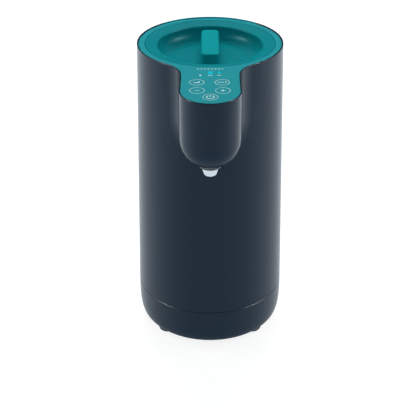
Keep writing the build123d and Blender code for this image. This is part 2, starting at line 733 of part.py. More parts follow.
# ---- spout under the nose ----
with BuildPart() as spout_holder:
    turn(
        [
            (nipple_radius - 1, 246.5), (nipple_radius, 246.5), (nipple_radius, 236.5), (9.0, 236.5),
            (9.0, 226.8), (12.9, 226.8), (12.9, 224.6), (9.0, 224.6), (9.0, 217.4), (7.9, 217.4),
            (6.7, 219.4), (6.7, 231.5), (nipple_radius - 1, 231.5),
        ],
        0, -nose_forward,
    )

with BuildPart() as spout_nozzle:
    turn(
        [
            (2.4, 209.5), (5.0, 209.5), (7.2, 216.6), (7.2, 217.8), (6.6, 218.8),
            (6.6, 223.0), (5.7, 223.0), (5.7, 225.2), (6.6, 225.2), (6.6, 229.0), (3.4, 229.0),
        ],
        0, -nose_forward,
    )
    fillet(spout_nozzle.edges().group_by(Axis.Z)[0].sort_by(SortBy.LENGTH)[-1], 1.6)

with BuildPart() as spout_seal:
    turn([(5.75, 223.05), (6.68, 223.05), (6.68, 225.15), (5.75, 225.15)], 0, -nose_forward)

with BuildPart() as drip_valve:
    turn([(0.8, 229.0), (6.5, 229.0), (6.5, 231.3), (2.4, 231.3)], 0, -nose_forward)

# ---- power inlet, low on the back ----
with BuildPart() as cord_inlet:
    with BuildSketch(front_plane(0, inlet_face, inlet_height)):
        RectangleRounded(24, 16, 2)
    extrude(amount=20)
    with BuildSketch(front_plane(0, 63.2, inlet_height)):
        Rectangle(39, 12)
    extrude(amount=2)
    with BuildSketch(front_plane(0, inlet_face, inlet_height)):
        SlotOverall(18, 9.6)
    extrude(amount=12, mode=Mode.SUBTRACT)
    for x in inlet_screw_offsets:
        with BuildSketch(front_plane(x, 64, inlet_height)):
            Circle(1.7)
        extrude(amount=4, mode=Mode.SUBTRACT)

with BuildPart() as inlet_pins:
    for x in (-4.2, 4.2):
        with BuildSketch(front_plane(x, inlet_face - 2, inlet_height)):
            Circle(1.2)
        extrude(amount=10)

with BuildPart() as inlet_screws:
    for x in inlet_screw_offsets:
        with BuildSketch(front_plane(x, 61.2, inlet_height)):
            Circle(2.6)
        extrude(amount=1.8)
        with BuildSketch(front_plane(x, 61.2, inlet_height)):
            Circle(1.4)
        extrude(amount=-3.6)

pieces = {
    "outer_shell": outer_shell,
    "base_tub": base_tub,
    "base_feet": base_feet,
    "base_screws": base_screws,
    "top_collar": top_collar,
    "indicator_windows": indicator_windows,
    "lid_cover": lid_cover,
    "lid_handle": lid_handle,
    "handle_screws": handle_screws,
    "lid_seal": lid_seal,
    "water_tank": water_tank,
    "valve_body": valve_body,
    "valve_poppet": valve_poppet,
    "valve_spring": valve_spring,
    "tank_filter": tank_filter,
    "float_guide": float_guide,
    "tank_float": tank_float,
    "tank_deck": tank_deck,
    "deck_screws": deck_screws,
    "valve_cup": valve_cup,
    "valve_cup_seal": valve_cup_seal,
    "level_sensor": level_sensor,
    "pump_bracket": pump_bracket,
    "pump_screws": pump_screws,
    "pump_motor": pump_motor,
    "pump_housing": pump_housing,
    "pump_cover": pump_cover,
    "pump_shaft": pump_shaft,
    "pump_impeller": pump_impeller,
    "flow_meter": flow_meter,
    "flow_cap": flow_cap,
    "flow_wheel": flow_wheel,
    "heater_bracket": heater_bracket,
    "heater_screws": heater_screws,
    "heater_block": heater_block,
    "thermal_cutouts": thermal_cutouts,
    "suction_hose": suction_hose,
    "pump_hose": pump_hose,
    "heater_hose": heater_hose,
    "hot_water_hose": hot_water_hose,
    "control_cable": control_cable,
    "power_board": power_board,
    "power_parts": power_parts,
    "power_screws": power_screws,
    "control_board": control_board,
    "control_parts": control_parts,
    "control_screws": control_screws,
    "touch_pads": touch_pads,
    "spout_holder": spout_holder,
    "spout_nozzle": spout_nozzle,
    "spout_seal": spout_seal,
    "drip_valve": drip_valve,
    "cord_inlet": cord_inlet,
    "inlet_pins": inlet_pins,
    "inlet_screws": inlet_screws,
}

os.makedirs("parts", exist_ok=True)
for name, piece in pieces.items():
    piece.part.label = name
    export_step(piece.part, f"parts/{name}.step")
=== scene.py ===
import json
from math import cos, pi, radians, sin
import bpy
import bmesh
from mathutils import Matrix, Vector


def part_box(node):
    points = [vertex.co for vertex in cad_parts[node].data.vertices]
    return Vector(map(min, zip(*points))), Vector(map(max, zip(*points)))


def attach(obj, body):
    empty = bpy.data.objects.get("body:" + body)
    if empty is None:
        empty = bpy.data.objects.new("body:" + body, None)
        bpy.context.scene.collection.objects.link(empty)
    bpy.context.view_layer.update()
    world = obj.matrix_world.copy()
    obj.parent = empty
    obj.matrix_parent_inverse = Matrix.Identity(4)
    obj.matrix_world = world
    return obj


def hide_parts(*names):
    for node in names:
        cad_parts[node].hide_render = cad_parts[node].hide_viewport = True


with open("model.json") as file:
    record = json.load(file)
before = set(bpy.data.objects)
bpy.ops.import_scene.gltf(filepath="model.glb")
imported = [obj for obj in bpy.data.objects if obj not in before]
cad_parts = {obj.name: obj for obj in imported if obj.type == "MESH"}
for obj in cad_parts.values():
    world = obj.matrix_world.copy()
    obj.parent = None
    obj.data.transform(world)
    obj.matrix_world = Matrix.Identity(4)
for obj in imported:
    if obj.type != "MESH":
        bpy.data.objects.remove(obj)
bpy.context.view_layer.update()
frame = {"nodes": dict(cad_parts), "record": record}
nodes = frame["nodes"]
print("stage: frame loaded,", len(nodes), "nodes")

mm = 0.001
baseLow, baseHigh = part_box("base_tub")
bodyY = (baseLow.y + baseHigh.y) / 2  # the upright centre line of the round body
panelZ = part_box("indicator_windows")[1].z  # the flat face of the touch panel


def place(x, y, z):
    return Vector((x * mm, bodyY + y * mm, z * mm))  # millimetres from the body's centre line


# camera, light and floor
view = {
    "distance": 0.8499,  # metres in front of the body's centre line
    "height": 0.6037,  # above the floor
    "side": -0.00187,
    "tilt": 29.926,  # degrees below the horizon
    "lens": 87.59,
    "sensor": 36.0,
}


def setCamera():
    camera = bpy.data.cameras.new("camera")
    camera.lens = view["lens"]
    camera.sensor_width = view["sensor"]
    camera.clip_start = 0.01
    rig = bpy.data.objects.new("camera", camera)
    rig.location = (view["side"], bodyY - view["distance"], view["height"])
    rig.rotation_euler = (radians(90 - view["tilt"]), 0, 0)
    bpy.context.scene.collection.objects.link(rig)
    bpy.context.scene.camera = rig


# angles in degrees, sizes and distances in metres
studio = {
    "aimHeight": 0.28,  # the lights point at this height on the body's centre line
    "backGlow": 1.52,  # what glossy faces see to the back and the sides
    "frontGlow": 0.6,  # and to the front
    "overheadShare": 0.02,  # the share of it left above the horizon
    "tableGlow": 0.35,  # the share of it left straight below
    "glowColour": (0.86, 0.95, 1.04, 1),
    "ambientBelow": 1.25,  # what matt faces get from the pale table
    "ambientAbove": 0.3,  # and from above it
    "floorShade": 0.3,
    "floorGlow": 0.86,
    "floorReach": 6.0,
}
# how far each lamp rises above the horizon, and how far it stands from the point that it aims at;
# the key is behind the body, and a softbox on either side is seen only by glossy faces
lamps = {
    "key": {"power": 14.0, "rise": 44, "distance": 1.3, "size": (1.1, 0.7)},
    "side": {"power": 3.0, "rise": 32, "distance": 1.2, "size": (0.6, 0.5), "back": 0.25},
    "softbox": {"power": 26.0, "rise": 34, "distance": 1.0, "size": (0.3, 0.22), "turn": 5},
}


def areaLamp(name, at, matt, glossy):
    # matt and glossy say which faces it lights
    look = lamps[name]
    lamp = bpy.data.lights.new(name, "AREA")
    lamp.shape = "RECTANGLE"
    lamp.size, lamp.size_y = look["size"]
    lamp.energy = look["power"]
    holder = bpy.data.objects.new(name, lamp)
    holder.location = at
    aim = Vector((0, bodyY, studio["aimHeight"]))
    holder.rotation_euler = (aim - Vector(at)).to_track_quat("-Z", "Y").to_euler()
    holder.visible_diffuse = matt
    holder.visible_glossy = glossy
    bpy.context.scene.collection.objects.link(holder)


def setWorld():
    world = bpy.data.worlds.new("studio")
    world.use_nodes = True
    bpy.context.scene.world = world
    tree = world.node_tree
    tree.nodes.clear()
    add = tree.nodes.new
    link = tree.links.new
    direction = add("ShaderNodeTexCoord")
    parts = add("ShaderNodeSeparateXYZ")
    link(direction.outputs["Generated"], parts.inputs[0])

    def fade(axis, start, end, first, last, kind="SMOOTHSTEP"):
        # goes from first to last as the direction's part along an axis goes from start to end
        node = add("ShaderNodeMapRange")
        node.interpolation_type = kind
        for socket, value in zip(("From Min", "From Max", "To Min", "To Max"), (start, end, first, last)):
            node.inputs[socket].default_value = value
        link(parts.outputs[axis], node.inputs["Value"])
        return node

    across = fade("Y", -0.9, 0.2, studio["frontGlow"], studio["backGlow"])
    upward = fade("Z", -0.25, 0.0, 1.0, studio["overheadShare"])
    downward = fade("Z", -0.85, -0.35, studio["tableGlow"], 1.0)
    level = add("ShaderNodeMath")
    level.operation = "MULTIPLY"
    link(upward.outputs["Result"], level.inputs[0])
    link(downward.outputs["Result"], level.inputs[1])
    glow = add("ShaderNodeMath")
    glow.operation = "MULTIPLY"
    link(across.outputs["Result"], glow.inputs[0])
    link(level.outputs[0], glow.inputs[1])
    ambient = fade("Z", -0.1, 0.1, studio["ambientBelow"], studio["ambientAbove"], "LINEAR")
    seen = add("ShaderNodeLightPath")
    matt = add("ShaderNodeMix")
    matt.data_type = "FLOAT"
    link(seen.outputs["Is Diffuse Ray"], matt.inputs["Factor"])
    link(glow.outputs[0], matt.inputs["A"])
    link(ambient.outputs["Result"], matt.inputs["B"])
    direct = add("ShaderNodeMix")
    direct.data_type = "FLOAT"
    link(seen.outputs["Is Camera Ray"], direct.inputs["Factor"])
    link(matt.outputs["Result"], direct.inputs["A"])
    direct.inputs["B"].default_value = 1.0  # the camera sees plain white
    hue = add("ShaderNodeMix")
    hue.data_type = "RGBA"
    link(seen.outputs["Is Camera Ray"], hue.inputs["Factor"])
    hue.inputs["A"].default_value = studio["glowColour"]
    hue.inputs["B"].default_value = (1, 1, 1, 1)
    background = add("ShaderNodeBackground")
    link(hue.outputs["Result"], background.inputs["Color"])
    link(direct.outputs["Result"], background.inputs["Strength"])
    output = add("ShaderNodeOutputWorld")
    link(background.outputs[0], output.inputs["Surface"])


def setFloor():
    mesh = bpy.data.meshes.new("floor")
    reach = studio["floorReach"]
    corners = [(-reach, -reach, 0), (reach, -reach, 0), (reach, reach, 0), (-reach, reach, 0)]
    mesh.from_pydata(corners, [], [(0, 1, 2, 3)])
    floor = bpy.data.objects.new("floor", mesh)
    bpy.context.scene.collection.objects.link(floor)
    material = bpy.data.materials.new("paleFloor")
    material.use_nodes = True
    shader = material.node_tree.nodes["Principled BSDF"]
    shade = studio["floorShade"]
    shader.inputs["Base Color"].default_value = (shade, shade, shade, 1)
    shader.inputs["Roughness"].default_value = 0.9
    shader.inputs["Specular IOR Level"].default_value = 0.0
    shader.inputs["Emission Color"].default_value = (1, 1, 1, 1)
    shader.inputs["Emission Strength"].default_value = studio["floorGlow"]
    # seen from below, the floor is clear
    tree = material.node_tree
    side = tree.nodes.new("ShaderNodeNewGeometry")
    clear = tree.nodes.new("ShaderNodeBsdfTransparent")
    mix = tree.nodes.new("ShaderNodeMixShader")
    tree.links.new(side.outputs["Backfacing"], mix.inputs["Fac"])
    tree.links.new(shader.outputs[0], mix.inputs[1])
    tree.links.new(clear.outputs[0], mix.inputs[2])
    tree.links.new(mix.outputs[0], tree.nodes["Material Output"].inputs["Surface"])
    mesh.materials.append(material)
    floor.visible_glossy = False  # glossy faces see the studio's even glow instead
    floor.visible_diffuse = False


def setLights():
    def standOff(name):
        # how far out and how high a lamp stands from the point that it aims at
        rise = radians(lamps[name]["rise"])
        return lamps[name]["distance"] * cos(rise), lamps[name]["distance"] * sin(rise)

    aimZ = studio["aimHeight"]
    keyOut, keyUp = standOff("key")
    sideOut, sideUp = standOff("side")
    boxOut, boxUp = standOff("softbox")
    turn = radians(lamps["softbox"]["turn"])
    areaLamp("key", (0, bodyY + keyOut, aimZ + keyUp), True, False)
    for side in (-1, 1):
        areaLamp("side", (side * sideOut, bodyY + lamps["side"]["back"], aimZ + sideUp), True, False)
        at = (side * cos(turn) * boxOut, bodyY - sin(turn) * boxOut, aimZ + boxUp)
        areaLamp("softbox", at, False, True)


setCamera()
setWorld()
setFloor()
setLights()
bpy.context.scene.view_settings.view_transform = "Standard"
print("stage: camera, light and floor set")


# shader groups
def newGroup(name, inputs, outputs):
    tree = bpy.data.node_groups.new(name, "ShaderNodeTree")
    for label, kind, value in inputs:
        socket = tree.interface.new_socket(name=label, in_out="INPUT", socket_type=kind)
        socket.default_value = value
    for label, kind in outputs:
        tree.interface.new_socket(name=label, in_out="OUTPUT", socket_type=kind)
    return tree, tree.nodes.new("NodeGroupInput"), tree.nodes.new("NodeGroupOutput")


def mouldedSkinGroup():
    # the skin of a moulded plastic part: fine spark-eroded grain and slow drifts of shade and gloss
    tree, given, made = newGroup(
        "mouldedSkin",
        [
            ("Colour", "NodeSocketColor", (0.5, 0.5, 0.5, 1)),
            ("Roughness", "NodeSocketFloat", 0.4),
            ("Grain Size", "NodeSocketFloat", 1800.0),
            ("Shade Drift", "NodeSocketFloat", 0.06),
            ("Gloss Drift", "NodeSocketFloat", 0.05),
        ],
        [("Colour", "NodeSocketColor"), ("Roughness", "NodeSocketFloat"), ("Height", "NodeSocketFloat")],
    )
    add = tree.nodes.new
    link = tree.links.new
    where = add("ShaderNodeTexCoord")
    grain = add("ShaderNodeTexNoise")
    grain.inputs["Detail"].default_value = 2.0
    link(where.outputs["Object"], grain.inputs["Vector"])
    link(given.outputs["Grain Size"], grain.inputs["Scale"])
    drift = add("ShaderNodeTexNoise")
    drift.inputs["Scale"].default_value = 22.0
    drift.inputs["Detail"].default_value = 3.0
    link(where.outputs["Object"], drift.inputs["Vector"])
    centred = add("ShaderNodeMath")
    centred.operation = "SUBTRACT"
    centred.inputs[1].default_value = 0.5
    link(drift.outputs["Fac"], centred.inputs[0])
    shade = add("ShaderNodeMath")
    shade.operation = "MULTIPLY_ADD"
    shade.inputs[2].default_value = 1.0
    link(centred.outputs[0], shade.inputs[0])
    link(given.outputs["Shade Drift"], shade.inputs[1])
    tint = add("ShaderNodeVectorMath")
    tint.operation = "SCALE"
    link(given.outputs["Colour"], tint.inputs[0])
    link(shade.outputs[0], tint.inputs["Scale"])
    link(tint.outputs["Vector"], made.inputs["Colour"])
    gloss = add("ShaderNodeMath")
    gloss.operation = "MULTIPLY_ADD"
    link(centred.outputs[0], gloss.inputs[0])
    link(given.outputs["Gloss Drift"], gloss.inputs[1])
    link(given.outputs["Roughness"], gloss.inputs[2])
    link(gloss.outputs[0], made.inputs["Roughness"])
    link(grain.outputs["Fac"], made.inputs["Height"])
    return tree


def brushedMetalGroup():
    # long fine lines left by rolling or brushing, and faint handling smudges
    tree, given, made = newGroup(
        "brushedMetal",
        [
            ("Colour", "NodeSocketColor", (0.6, 0.6, 0.6, 1)),
            ("Roughness", "NodeSocketFloat", 0.3),
            ("Line Scale", "NodeSocketVector", (900.0, 900.0, 40.0)),
            ("Smudge", "NodeSocketFloat", 0.12),
        ],
        [("Colour", "NodeSocketColor"), ("Roughness", "NodeSocketFloat"), ("Height", "NodeSocketFloat")],
    )
    add = tree.nodes.new
    link = tree.links.new
    where = add("ShaderNodeTexCoord")
    stretch = add("ShaderNodeVectorMath")
    stretch.operation = "MULTIPLY"
    link(where.outputs["Object"], stretch.inputs[0])
    link(given.outputs["Line Scale"], stretch.inputs[1])
    lines = add("ShaderNodeTexNoise")
    lines.inputs["Scale"].default_value = 1.0
    lines.inputs["Detail"].default_value = 3.0
    link(stretch.outputs["Vector"], lines.inputs["Vector"])
    smudge = add("ShaderNodeTexNoise")
    smudge.inputs["Scale"].default_value = 60.0
    smudge.inputs["Detail"].default_value = 4.0
    link(where.outputs["Object"], smudge.inputs["Vector"])
    dull = add("ShaderNodeMath")
    dull.operation = "MULTIPLY_ADD"
    link(smudge.outputs["Fac"], dull.inputs[0])
    link(given.outputs["Smudge"], dull.inputs[1])
    link(given.outputs["Roughness"], dull.inputs[2])
    fine = add("ShaderNodeMath")
    fine.operation = "MULTIPLY_ADD"
    fine.inputs[1].default_value = 0.08
    link(lines.outputs["Fac"], fine.inputs[0])
    link(dull.outputs[0], fine.inputs[2])
    bright = add("ShaderNodeMapRange")
    bright.inputs["To Min"].default_value = 0.88
    bright.inputs["To Max"].default_value = 1.06
    link(lines.outputs["Fac"], bright.inputs["Value"])
    tint = add("ShaderNodeVectorMath")
    tint.operation = "SCALE"
    link(given.outputs["Colour"], tint.inputs[0])
    link(bright.outputs["Result"], tint.inputs["Scale"])
    link(tint.outputs["Vector"], made.inputs["Colour"])
    link(fine.outputs[0], made.inputs["Roughness"])
    link(lines.outputs["Fac"], made.inputs["Height"])
    return tree


def boardTracksGroup():
    # printed copper tracks and pads under green lacquer
    tree, given, made = newGroup(
        "boardTracks",
        [
            ("Lacquer", "NodeSocketColor", (0.01, 0.09, 0.04, 1)),
            ("Track", "NodeSocketColor", (0.03, 0.2, 0.08, 1)),
            ("Pitch", "NodeSocketFloat", 420.0),
        ],
        [("Colour", "NodeSocketColor"), ("Roughness", "NodeSocketFloat"), ("Height", "NodeSocketFloat")],
    )
    add = tree.nodes.new
    link = tree.links.new
    where = add("ShaderNodeTexCoord")
    blocks = add("ShaderNodeTexBrick")
    blocks.inputs["Color1"].default_value = (0, 0, 0, 1)
    blocks.inputs["Color2"].default_value = (0, 0, 0, 1)
    blocks.inputs["Mortar"].default_value = (1, 1, 1, 1)
    blocks.inputs["Mortar Size"].default_value = 0.06
    blocks.inputs["Brick Width"].default_value = 2.6
    blocks.inputs["Row Height"].default_value = 0.7
    link(where.outputs["Object"], blocks.inputs["Vector"])
    link(given.outputs["Pitch"], blocks.inputs["Scale"])
    pads = add("ShaderNodeTexVoronoi")
    link(where.outputs["Object"], pads.inputs["Vector"])
    link(given.outputs["Pitch"], pads.inputs["Scale"])
    dots = add("ShaderNodeMath")
    dots.operation = "LESS_THAN"
    dots.inputs[1].default_value = 0.16
    link(pads.outputs["Distance"], dots.inputs[0])
    both = add("ShaderNodeMath")
    both.operation = "MAXIMUM"
    link(blocks.outputs["Color"], both.inputs[0])
    link(dots.outputs[0], both.inputs[1])
    paint = add("ShaderNodeMix")
    paint.data_type = "RGBA"
    link(both.outputs[0], paint.inputs["Factor"])
    link(given.outputs["Lacquer"], paint.inputs["A"])
    link(given.outputs["Track"], paint.inputs["B"])
    gloss = add("ShaderNodeMapRange")
    gloss.inputs["To Min"].default_value = 0.32
    gloss.inputs["To Max"].default_value = 0.24
    link(both.outputs[0], gloss.inputs["Value"])
    link(paint.outputs["Result"], made.inputs["Colour"])
    link(gloss.outputs["Result"], made.inputs["Roughness"])
    link(both.outputs[0], made.inputs["Height"])
    return tree


mouldedSkin, brushedMetal, boardTracks = mouldedSkinGroup(), brushedMetalGroup(), boardTracksGroup()


def surface(name, group, values, bumpStrength, constants):
    # a material whose colour, roughness and height come from one of the groups
    material = bpy.data.materials.new(name)
    material.use_nodes = True
    tree = material.node_tree
    shader = tree.nodes["Principled BSDF"]
    skin = tree.nodes.new("ShaderNodeGroup")
    skin.node_tree = group
    for socket, value in values.items():
        skin.inputs[socket].default_value = value
    bump = tree.nodes.new("ShaderNodeBump")
    bump.inputs["Strength"].default_value = bumpStrength
    bump.inputs["Distance"].default_value = 0.0001
    tree.links.new(skin.outputs["Colour"], shader.inputs["Base Color"])
    tree.links.new(skin.outputs["Roughness"], shader.inputs["Roughness"])
    tree.links.new(skin.outputs["Height"], bump.inputs["Height"])
    tree.links.new(bump.outputs["Normal"], shader.inputs["Normal"])
    for socket, value in constants.items():
        shader.inputs[socket].default_value = value
    return material


# colours are linear red, green and blue
looks = {
    "slate_shell": {
        "colour": (0.013, 0.029, 0.048),
        "roughness": 0.27,
        "shader": {"Specular IOR Level": 0.2},
    },
    "teal_top": {
        "colour": (0.006, 0.31, 0.35),
        "roughness": 0.45,
        "shader": {"Specular IOR Level": 0.1, "Specular Tint": (0.15, 0.9, 1, 1)},
    },
    # darker than the ring's teal, which the lid's lit sides share: painted shade of the bowl and its back
    # slope
    "teal_lid": {
        "colour": (0.0, 0.25, 0.28),
        "roughness": 0.34,
        "shader": {"Specular IOR Level": 0.04, "Specular Tint": (0.3, 0.95, 1, 1)},
    },
    # the lid's teal made lighter for the handle, which is the same plastic: painted light on its lit top
    "teal_handle": {
        "colour": (0.0, 0.32, 0.34),
        "roughness": 0.4,
        "shader": {"Specular IOR Level": 0.02, "Specular Tint": (0.2, 0.95, 1, 1)},
    },
    "indicator": {
        "colour": (0.0, 0.35, 0.42),
        "roughness": 0.2,
        "shader": {"Emission Color": (0.0, 0.58, 0.68, 1), "Emission Strength": 0.4},
    },
    "tank_clear": {
        "colour": (0.62, 0.68, 0.72),
        "roughness": 0.06,
        "grain": 0.0,
        "shader": {"Transmission Weight": 0.9, "IOR": 1.3},
    },
    "inner_grey": {"colour": (0.10, 0.11, 0.12), "roughness": 0.5},
    "white_nozzle": {"colour": (0.84, 0.86, 0.88), "roughness": 0.3},
    "black_rubber": {"colour": (0.012, 0.02, 0.03), "roughness": 0.6, "grain": 0.3},
    "silicone": {"colour": (0.62, 0.64, 0.64), "roughness": 0.4},
    "part_black": {"colour": (0.012, 0.012, 0.014), "roughness": 0.45},
    "print_white": {"colour": (0.62, 0.86, 0.88), "roughness": 0.5},
    "print_soft": {"colour": (0.25, 0.55, 0.58), "roughness": 0.5},
}
# colour, roughness, lines to the metre along each axis, and smudge
metals = {
    "steel": ((0.55, 0.56, 0.58, 1), 0.22, (900.0, 900.0, 40.0), 0.14),
    "cast_alloy": ((0.58, 0.59, 0.6, 1), 0.4, (700.0, 700.0, 700.0), 0.2),
    "brass_pin": ((0.68, 0.46, 0.17, 1), 0.16, (1200.0, 1200.0, 60.0), 0.1),
}
mouldGrain = {"Grain Size": 1800.0, "Shade Drift": 0.06, "Gloss Drift": 0.03}
finishes = {}
for name, look in looks.items():
    values = {"Colour": (*look["colour"], 1), "Roughness": look["roughness"], **mouldGrain}
    finishes[name] = surface(name, mouldedSkin, values, look.get("grain", 0.15), look.get("shader", {}))
for name, look in metals.items():
    values = dict(zip(("Colour", "Roughness", "Line Scale", "Smudge"), look))
    finishes[name] = surface(name, brushedMetal, values, 0.2, {"Metallic": 1.0})
finishes["board_green"] = surface("board_green", boardTracks, {}, 0.3, {"Coat Weight": 0.3})
nodeSlots = {part["node"]: part["material_slot"] for part in frame["record"]["subparts"]}
for name, obj in nodes.items():
    obj.data.materials.clear()
    # the handle gets the lighter copy of the lid's teal, as painted light
    obj.data.materials.append(finishes["teal_handle" if name == "lid_handle" else nodeSlots[name]])
print("stage: materials made")


# geometry nodes
sharpAngle = 32  # degrees; an edge that turns more stays sharp


def newTree(name, inputs):
    tree = bpy.data.node_groups.new(name, "GeometryNodeTree")
    tree.interface.new_socket(name="Geometry", in_out="INPUT", socket_type="NodeSocketGeometry")
    for label, kind, value in inputs:
        socket = tree.interface.new_socket(name=label, in_out="INPUT", socket_type=kind)
        if value is not None:
            socket.default_value = value
    tree.interface.new_socket(name="Geometry", in_out="OUTPUT", socket_type="NodeSocketGeometry")
    return tree, tree.nodes.new("NodeGroupInput"), tree.nodes.new("NodeGroupOutput")


def finishTree(tree, given, made, geometry):
    # sharp corners stay sharp, then one real mesh with its material
    add = tree.nodes.new
    link = tree.links.new
    real = add("GeometryNodeRealizeInstances")
    link(geometry, real.inputs["Geometry"])
    angle = add("GeometryNodeInputMeshEdgeAngle")
    sharp = add("FunctionNodeCompare")
    sharp.operation = "GREATER_THAN"
    sharp.inputs[1].default_value = radians(sharpAngle)
    link(angle.outputs["Unsigned Angle"], sharp.inputs[0])
    smooth = add("GeometryNodeSetShadeSmooth")
    smooth.domain = "EDGE"
    smooth.inputs["Shade Smooth"].default_value = False
    link(real.outputs["Geometry"], smooth.inputs["Geometry"])
    link(sharp.outputs["Result"], smooth.inputs["Selection"])
    paint = add("GeometryNodeSetMaterial")
    link(smooth.outputs["Geometry"], paint.inputs["Geometry"])
    link(given.outputs["Finish"], paint.inputs["Material"])
    link(paint.outputs["Geometry"], made.inputs["Geometry"])


def grow(name, tree, points, values, body, slot):
    # runs a tree on a list of points and keeps the result as a plain mesh that rides on a body
    seed = bpy.data.meshes.new(name + "Points")
    seed.from_pydata([tuple(p) for p in points], [(i, i + 1) for i in range(len(points) - 1)], [])
    carrier = bpy.data.objects.new(name + "Points", seed)
    bpy.context.scene.collection.objects.link(carrier)
    modifier = carrier.modifiers.new("grow", "NODES")
    modifier.node_group = tree
    values = {"Finish": finishes[slot], **values}
    for item in tree.interface.items_tree:
        if item.in_out == "INPUT" and item.name in values:
            modifier[item.identifier] = values[item.name]
    bpy.context.view_layer.update()
    evaluated = carrier.evaluated_get(bpy.context.evaluated_depsgraph_get())
    mesh = bpy.data.meshes.new_from_object(evaluated)
    bpy.data.objects.remove(carrier)
    outward = bmesh.new()
    outward.from_mesh(mesh)
    bmesh.ops.recalc_face_normals(outward, faces=outward.faces)
    outward.to_mesh(mesh)
    outward.free()
    return keep(name, mesh, body)


def keep(name, mesh, body):
    mesh.name = name
    piece = bpy.data.objects.new(name, mesh)
    bpy.context.scene.collection.objects.link(piece)
    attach(piece, body)
    # the prints have no slot of their own
    return piece


def keyRingTree():
    # a thin printed ring at every point
    tree, given, made = newTree(
        "keyRing",
        [
            ("Radius", "NodeSocketFloat", 0.0065),
            ("Line Width", "NodeSocketFloat", 0.0004),
            ("Line Height", "NodeSocketFloat", 0.00005),
            ("Finish", "NodeSocketMaterial", None),
        ],
    )
    add = tree.nodes.new
    link = tree.links.new
    circle = add("GeometryNodeCurvePrimitiveCircle")
    circle.inputs["Resolution"].default_value = 72
    link(given.outputs["Radius"], circle.inputs["Radius"])
    line = add("GeometryNodeCurvePrimitiveQuadrilateral")
    link(given.outputs["Line Width"], line.inputs["Width"])
    link(given.outputs["Line Height"], line.inputs["Height"])
    ring = add("GeometryNodeCurveToMesh")
    link(circle.outputs["Curve"], ring.inputs["Curve"])
    link(line.outputs["Curve"], ring.inputs["Profile Curve"])
    spread = add("GeometryNodeInstanceOnPoints")
    link(given.outputs["Geometry"], spread.inputs["Points"])
    link(ring.outputs["Mesh"], spread.inputs["Instance"])
    finishTree(tree, given, made, spread.outputs["Instances"])
    return tree


def markRowTree():
    # a row of equal bars, as a printed scale
    tree, given, made = newTree(
        "markRow",
        [
            ("Count", "NodeSocketInt", 5),
            ("Step", "NodeSocketVector", (0.002, 0, 0)),
            ("Bar", "NodeSocketVector", (0.001, 0.001, 0.00005)),
            ("Finish", "NodeSocketMaterial", None),
        ],
    )
    add = tree.nodes.new
    link = tree.links.new
    row = add("GeometryNodeMeshLine")
    row.mode = "OFFSET"
    link(given.outputs["Count"], row.inputs["Count"])
    link(given.outputs["Step"], row.inputs["Offset"])
    bar = add("GeometryNodeMeshCube")
    link(given.outputs["Bar"], bar.inputs["Size"])
    marks = add("GeometryNodeInstanceOnPoints")
    link(row.outputs["Mesh"], marks.inputs["Points"])
    link(bar.outputs["Mesh"], marks.inputs["Instance"])
    spread = add("GeometryNodeInstanceOnPoints")
    link(given.outputs["Geometry"], spread.inputs["Points"])
    link(marks.outputs["Instances"], spread.inputs["Instance"])
    finishTree(tree, given, made, spread.outputs["Instances"])
    return tree


def turnedTree():
    # turns an outline of (radius, 0, height) points about the upright axis, and sets it out in a grid
    tree, given, made = newTree(
        "turned",
        [
            ("Segments", "NodeSocketInt", 96),
            ("Outline Points", "NodeSocketInt", 8),
            ("Centre", "NodeSocketVector", (0, 0, 0)),
            ("Across", "NodeSocketFloat", 0.0),
            ("Along", "NodeSocketFloat", 0.0),
            ("Pieces", "NodeSocketInt", 1),
            ("Finish", "NodeSocketMaterial", None),
        ],
    )
    add = tree.nodes.new
    link = tree.links.new

    def math(operation, first, second):
        node = add("ShaderNodeMath")
        node.operation = operation
        for socket, value in zip(node.inputs, (first, second)):
            if isinstance(value, (int, float)):
                socket.default_value = value
            elif value is not None:
                link(value, socket)
        return node.outputs[0]

    columns = math("ADD", given.outputs["Segments"], 1)
    sheet = add("GeometryNodeMeshGrid")
    link(columns, sheet.inputs["Vertices X"])
    link(given.outputs["Outline Points"], sheet.inputs["Vertices Y"])
    index = add("GeometryNodeInputIndex").outputs["Index"]
    step = math("FLOOR", math("DIVIDE", math("ADD", index, 0.5), given.outputs["Outline Points"]), None)
    row = math("SUBTRACT", index, math("MULTIPLY", step, given.outputs["Outline Points"]))
    outline = add("GeometryNodeSampleIndex")
    outline.data_type = "FLOAT_VECTOR"
    position = add("GeometryNodeInputPosition")
    link(given.outputs["Geometry"], outline.inputs["Geometry"])
    link(position.outputs["Position"], outline.inputs["Value"])
    link(row, outline.inputs["Index"])
    point = add("ShaderNodeSeparateXYZ")
    link(outline.outputs["Value"], point.inputs[0])
    turn = math("DIVIDE", math("MULTIPLY", step, 2 * pi), given.outputs["Segments"])
    where = add("ShaderNodeCombineXYZ")
    link(math("MULTIPLY", point.outputs["X"], math("COSINE", turn, None)), where.inputs["X"])
    link(math("MULTIPLY", point.outputs["X"], math("SINE", turn, None)), where.inputs["Y"])
    link(point.outputs["Z"], where.inputs["Z"])
    bend = add("GeometryNodeSetPosition")
    link(sheet.outputs["Mesh"], bend.inputs["Geometry"])
    link(where.outputs["Vector"], bend.inputs["Position"])
    closed = add("GeometryNodeMergeByDistance")
    closed.inputs["Distance"].default_value = 0.000005
    link(bend.outputs["Geometry"], closed.inputs["Geometry"])
    lattice = add("GeometryNodeMeshGrid")
    link(given.outputs["Across"], lattice.inputs["Size X"])
    link(given.outputs["Along"], lattice.inputs["Size Y"])
    link(given.outputs["Pieces"], lattice.inputs["Vertices X"])
    link(given.outputs["Pieces"], lattice.inputs["Vertices Y"])
    centred = add("GeometryNodeSetPosition")
    link(lattice.outputs["Mesh"], centred.inputs["Geometry"])
    link(given.outputs["Centre"], centred.inputs["Offset"])
    spread = add("GeometryNodeInstanceOnPoints")
    link(centred.outputs["Geometry"], spread.inputs["Points"])
    link(closed.outputs["Geometry"], spread.inputs["Instance"])
    finishTree(tree, given, made, spread.outputs["Instances"])
    return tree


